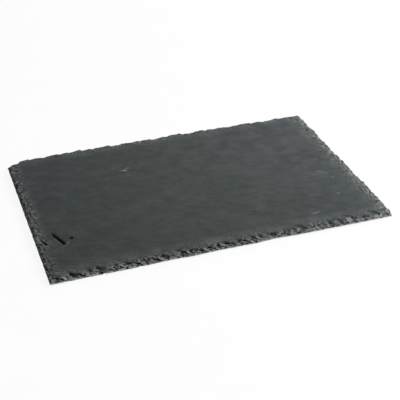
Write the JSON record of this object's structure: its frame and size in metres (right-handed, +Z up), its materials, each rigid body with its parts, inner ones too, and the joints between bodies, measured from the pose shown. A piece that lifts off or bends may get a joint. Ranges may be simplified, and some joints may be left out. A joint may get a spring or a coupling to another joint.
{
  "type": "slate serving board",
  "caption": "Flat rectangular slab of dark slate with hand-chipped bevelled edges, on small round foam feet, for serving food at table.",
  "frame": {"origin": "centre of the board's footprint, on the plane that the feet stand on", "axes": "+X along the length towards the right-hand short side, +Y along the width away from the front long side, +Z up out of the serving face"},
  "size_m": [0.3, 0.2, 0.0072],
  "materials": {
    "slate": "matt riven cleavage face, chipped and slightly paler at the dressed edges",
    "foam": "matt closed-cell foam, die cut",
    "adhesive_film": "milky pressure-sensitive adhesive film"
  },
  "bodies": {
    "root": {"slate_slab": "slate", "foot_pad_front_left": "foam", "foot_pad_front_right": "foam", "foot_pad_back_left": "foam", "foot_pad_back_right": "foam", "foot_film_front_left": "adhesive_film", "foot_film_front_right": "adhesive_film", "foot_film_back_left": "adhesive_film", "foot_film_back_right": "adhesive_film"}
  },
  "joints": []
}
